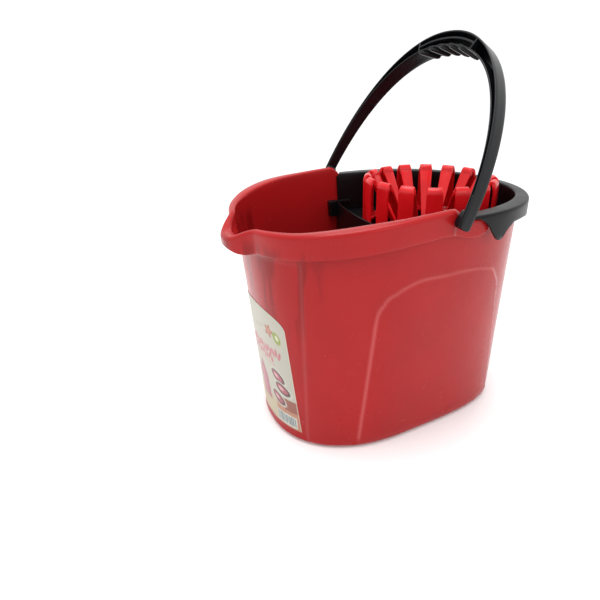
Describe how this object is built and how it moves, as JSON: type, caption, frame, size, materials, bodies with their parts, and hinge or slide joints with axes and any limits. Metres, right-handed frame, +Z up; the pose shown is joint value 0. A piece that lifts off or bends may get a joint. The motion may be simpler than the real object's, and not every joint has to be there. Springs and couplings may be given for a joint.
{
  "type": "mop bucket with wringer",
  "caption": "Oval mop bucket with pouring spout, swinging bail handle, clip-on wringer frame and lift-out wringer basket of sprung fingers.",
  "frame": {"origin": "on the floor, under the middle of the bucket's length (halfway between the spout's lip and the wringer end) and width", "axes": "+Z up; +X towards the wringer end, so the spout points to -X; +Y to the bucket's left side as seen from behind the spout, looking towards the wringer"},
  "size_m": [0.3798, 0.3028, 0.4566],
  "materials": {
    "bucket_plastic": "semi-gloss moulded polypropylene, red",
    "label_paper": "matt printed film label, pale grey-beige",
    "frame_plastic": "satin moulded polypropylene, black",
    "basket_plastic": "semi-gloss moulded polypropylene, bright red",
    "handle_plastic": "satin moulded polypropylene, black"
  },
  "bodies": {
    "bucket": {"bucket": "bucket_plastic", "front_label": "label_paper", "wringer_frame": "frame_plastic"},
    "basket": {"wringer_basket": "basket_plastic"},
    "handle": {"handle": "handle_plastic"}
  },
  "joints": [
    {"name": "handle_swing", "type": "hinge", "parent": "bucket", "child": "handle", "pos_m": [0.0105, 0, 0.2794], "axis": [0, 1, 0], "range_deg": [-102, 46]},
    {"name": "basket_lift", "type": "slide", "parent": "bucket", "child": "basket", "axis": [0, 0, 1], "range_m": [0, 0.055]}
  ]
}
